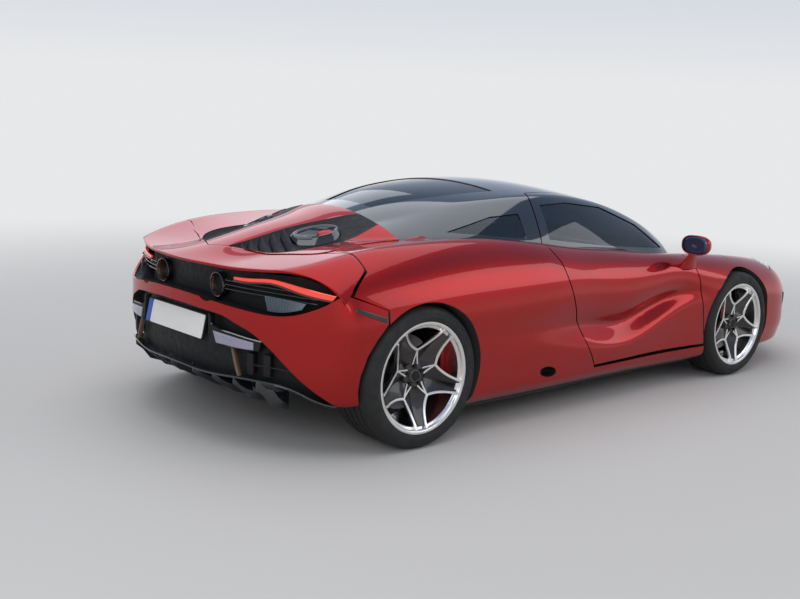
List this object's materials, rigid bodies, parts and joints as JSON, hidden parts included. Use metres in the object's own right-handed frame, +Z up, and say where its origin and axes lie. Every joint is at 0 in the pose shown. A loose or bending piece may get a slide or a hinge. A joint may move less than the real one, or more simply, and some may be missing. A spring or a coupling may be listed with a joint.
{
  "type": "sports car",
  "caption": "Low two-seat mid-engined sports car with swinging doors, a front lid, a rising rear wing, steered front wheels and high central tail pipes.",
  "frame": {"origin": "on the ground under the middle of the car's bounding box", "axes": "+X forwards to the nose, +Y to the car's left, +Z up"},
  "size_m": [4.543, 2.2052, 1.1928],
  "materials": {
    "paint": "metallic candy red, clear coat",
    "black_gloss": "gloss",
    "black_matte": "satin",
    "pane": "tinted",
    "lamp_red": "gloss",
    "lamp_clear": "clear",
    "tyre": "rubber",
    "alloy": "satin",
    "steel": "brushed",
    "caliper": "gloss",
    "aluminium": "cast",
    "iron": "cast",
    "pipe": "heat-tinted",
    "hide": "grained",
    "tray": "satin"
  },
  "bodies": {
    "shell": {"tub": "black_matte", "underfloor": "tray", "engine_block": "iron", "exhaust": "pipe", "seats": "hide", "dashboard": "hide", "roof": "black_gloss", "windscreen": "pane", "rear_glass": "pane", "quarters": "paint", "rear_deck": "paint", "rear_bumper": "paint", "fenders": "paint", "front_clamshell": "paint", "diffuser": "black_matte", "rear_grille": "black_matte", "tail_lamps": "lamp_red", "headlamps": "lamp_clear", "front_suspension": "aluminium", "rear_uprights": "aluminium", "drive_shafts": "steel", "rear_calipers": "caliper", "wing_sleeves": "aluminium"},
    "lid": {"bonnet": "paint"},
    "rear_wing": {"wing": "paint"},
    "door_left_leaf": {"door_left": "paint", "door_glass_left": "pane", "mirror_left": "paint"},
    "door_right_leaf": {"door_right": "paint", "door_glass_right": "pane", "mirror_right": "paint"},
    "upright_left": {"knuckle_left": "aluminium", "caliper_front_left": "caliper"},
    "upright_right": {"knuckle_right": "aluminium", "caliper_front_right": "caliper"},
    "steering": {"steering_wheel": "hide"},
    "wheel_front_left": {"tyre_front_left": "tyre", "rim_front_left": "alloy", "disc_front_left": "steel"},
    "wheel_front_right": {"tyre_front_right": "tyre", "rim_front_right": "alloy", "disc_front_right": "steel"},
    "wheel_rear_left": {"tyre_rear_left": "tyre", "rim_rear_left": "alloy", "disc_rear_left": "steel"},
    "wheel_rear_right": {"tyre_rear_right": "tyre", "rim_rear_right": "alloy", "disc_rear_right": "steel"}
  },
  "joints": [
    {"name": "steer_left", "type": "hinge", "parent": "shell", "child": "upright_left", "pos_m": [1.2085, 0.83, 0.327], "axis": [0, 0, 1], "range_deg": [-30, 30]},
    {"name": "steer_right", "type": "hinge", "parent": "shell", "child": "upright_right", "pos_m": [1.2085, -0.83, 0.327], "axis": [0, 0, 1], "range_deg": [-30, 30]},
    {"name": "spin_front_left", "type": "hinge", "parent": "upright_left", "child": "wheel_front_left", "pos_m": [1.2085, 0.83, 0.327], "axis": [0, 1, 0], "continuous": true},
    {"name": "spin_rear_left", "type": "hinge", "parent": "shell", "child": "wheel_rear_left", "pos_m": [-1.4615, 0.806, 0.345], "axis": [0, 1, 0], "continuous": true},
    {"name": "spin_front_right", "type": "hinge", "parent": "upright_right", "child": "wheel_front_right", "pos_m": [1.2085, -0.83, 0.327], "axis": [0, 1, 0], "continuous": true},
    {"name": "spin_rear_right", "type": "hinge", "parent": "shell", "child": "wheel_rear_right", "pos_m": [-1.4615, -0.806, 0.345], "axis": [0, 1, 0], "continuous": true},
    {"name": "steering_wheel_turn", "type": "hinge", "parent": "shell", "child": "steering", "pos_m": [0.2735, 0.345, 0.8], "axis": [-0.9135, 0, 0.4067], "range_deg": [-400, 400]},
    {"name": "door_left_swing", "type": "hinge", "parent": "shell", "child": "door_left_leaf", "pos_m": [0.8735, 0.985, 0.2], "axis": [0.25, 0.1, -0.9631], "range_deg": [0, 65]},
    {"name": "door_right_swing", "type": "hinge", "parent": "shell", "child": "door_right_leaf", "pos_m": [0.8735, -0.985, 0.2], "axis": [-0.25, 0.1, 0.9631], "range_deg": [0, 65]},
    {"name": "lid_swing", "type": "hinge", "parent": "shell", "child": "lid", "pos_m": [1.2555, 0, 0.716], "axis": [0, -1, 0], "range_deg": [0, 60]},
    {"name": "wing_rise", "type": "slide", "parent": "shell", "child": "rear_wing", "axis": [-0.2588, 0, 0.9659], "range_m": [0, 0.08]}
  ],
  "couplings": [
    {"joint": "steer_right", "follows": "steer_left", "ratio": 1},
    {"joint": "steering_wheel_turn", "follows": "steer_left", "ratio": 12.6}
  ]
}
